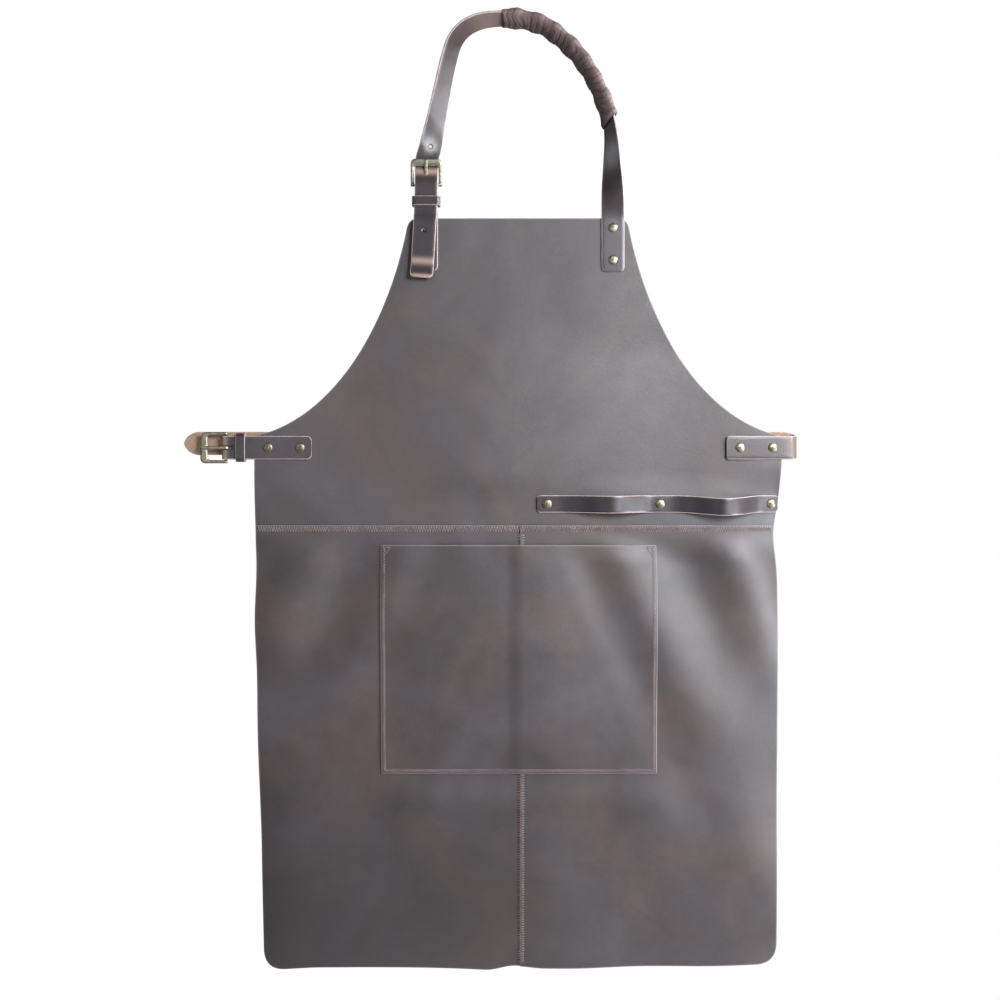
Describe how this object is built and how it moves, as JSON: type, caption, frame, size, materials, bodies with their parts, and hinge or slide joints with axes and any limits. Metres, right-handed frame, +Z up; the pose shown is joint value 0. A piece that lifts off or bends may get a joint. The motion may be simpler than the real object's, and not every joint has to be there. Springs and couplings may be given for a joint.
{
  "type": "welding apron",
  "caption": "Full-length leather work apron with a bib, a lapped skirt, a patch pocket, tool loops, a buckled neck strap with a gathered pad and a buckled waist strap.",
  "frame": {"origin": "under the crown of the neck strap, on its inner face and mid-width, where a peg holds the apron up", "axes": "+Z up along the hanging apron, front faces -Y, +X to the viewer's right"},
  "size_m": [0.7079, 0.0366, 1.1038],
  "materials": {
    "body_leather": "waxed dark brown pull-up leather with a satin grey-lilac bloom",
    "strap_leather": "waxed dark brown strap leather with pale raw edges and a tan flesh side",
    "sleeve_leather": "thin reddish brown leather, gathered and creased",
    "thread": "pinkish brown sewing thread",
    "antique_brass": "aged brass, satin"
  },
  "bodies": {
    "root": {"bib_panel": "body_leather", "skirt_panel_left": "body_leather", "skirt_panel_right": "body_leather", "pocket_panel": "body_leather", "waist_seam_thread": "thread", "centre_seam_thread": "thread", "pocket_thread": "thread", "tool_loop_strap": "strap_leather", "neck_strap": "strap_leather", "neck_pad_sleeve": "sleeve_leather", "waist_strap_front": "strap_leather", "neck_buckle_tab": "strap_leather", "waist_buckle_tab": "strap_leather", "tool_strap_rivet_1_cap": "antique_brass", "tool_strap_rivet_1_post": "antique_brass", "tool_strap_rivet_2_cap": "antique_brass", "tool_strap_rivet_2_post": "antique_brass", "tool_strap_rivet_3_cap": "antique_brass", "tool_strap_rivet_3_post": "antique_brass", "neck_strap_rivet_1_cap": "antique_brass", "neck_strap_rivet_1_post": "antique_brass", "neck_strap_rivet_2_cap": "antique_brass", "neck_strap_rivet_2_post": "antique_brass", "waist_strap_rivet_1_cap": "antique_brass", "waist_strap_rivet_1_post": "antique_brass", "waist_strap_rivet_2_cap": "antique_brass", "waist_strap_rivet_2_post": "antique_brass", "neck_tab_rivet_1_cap": "antique_brass", "neck_tab_rivet_1_post": "antique_brass", "neck_tab_rivet_2_cap": "antique_brass", "neck_tab_rivet_2_post": "antique_brass", "waist_tab_rivet_1_cap": "antique_brass", "waist_tab_rivet_1_post": "antique_brass", "waist_tab_rivet_2_cap": "antique_brass", "waist_tab_rivet_2_post": "antique_brass"},
    "waist_strap": {"waist_strap_back": "strap_leather"},
    "waist_frame": {"waist_buckle_frame": "antique_brass"},
    "waist_prong": {"waist_buckle_prong": "antique_brass"},
    "waist_keeper": {"waist_keeper": "strap_leather"},
    "neck_frame": {"neck_buckle_frame": "antique_brass"},
    "neck_prong": {"neck_buckle_prong": "antique_brass"},
    "neck_keeper": {"neck_keeper": "strap_leather"}
  },
  "joints": [
    {"name": "waist_strap_swing", "type": "hinge", "parent": "root", "child": "waist_strap", "pos_m": [0.3146, 0.003, -0.4875], "axis": [0, 0, -1], "range_deg": [0, 170]},
    {"name": "waist_frame_tilt", "type": "hinge", "parent": "root", "child": "waist_frame", "pos_m": [-0.3365, 0, -0.4928], "axis": [0, 0, 1], "range_deg": [0, 40]},
    {"name": "waist_prong_lift", "type": "hinge", "parent": "waist_frame", "child": "waist_prong", "pos_m": [-0.3365, 0, -0.4928], "axis": [0, 0, 1], "range_deg": [0, 80]},
    {"name": "waist_keeper_slide", "type": "slide", "parent": "root", "child": "waist_keeper", "axis": [1, 0, 0], "range_m": [-0.002, 0.008]},
    {"name": "neck_frame_tilt", "type": "hinge", "parent": "root", "child": "neck_frame", "pos_m": [-0.1055, 0, -0.1901], "axis": [1, 0, 0], "range_deg": [0, 4]},
    {"name": "neck_prong_lift", "type": "hinge", "parent": "neck_frame", "child": "neck_prong", "pos_m": [-0.1055, 0, -0.1901], "axis": [1, 0, 0], "range_deg": [0, 3]},
    {"name": "neck_keeper_slide", "type": "slide", "parent": "root", "child": "neck_keeper", "axis": [0, 0, 1], "range_m": [-0.01, 0.004]}
  ]
}
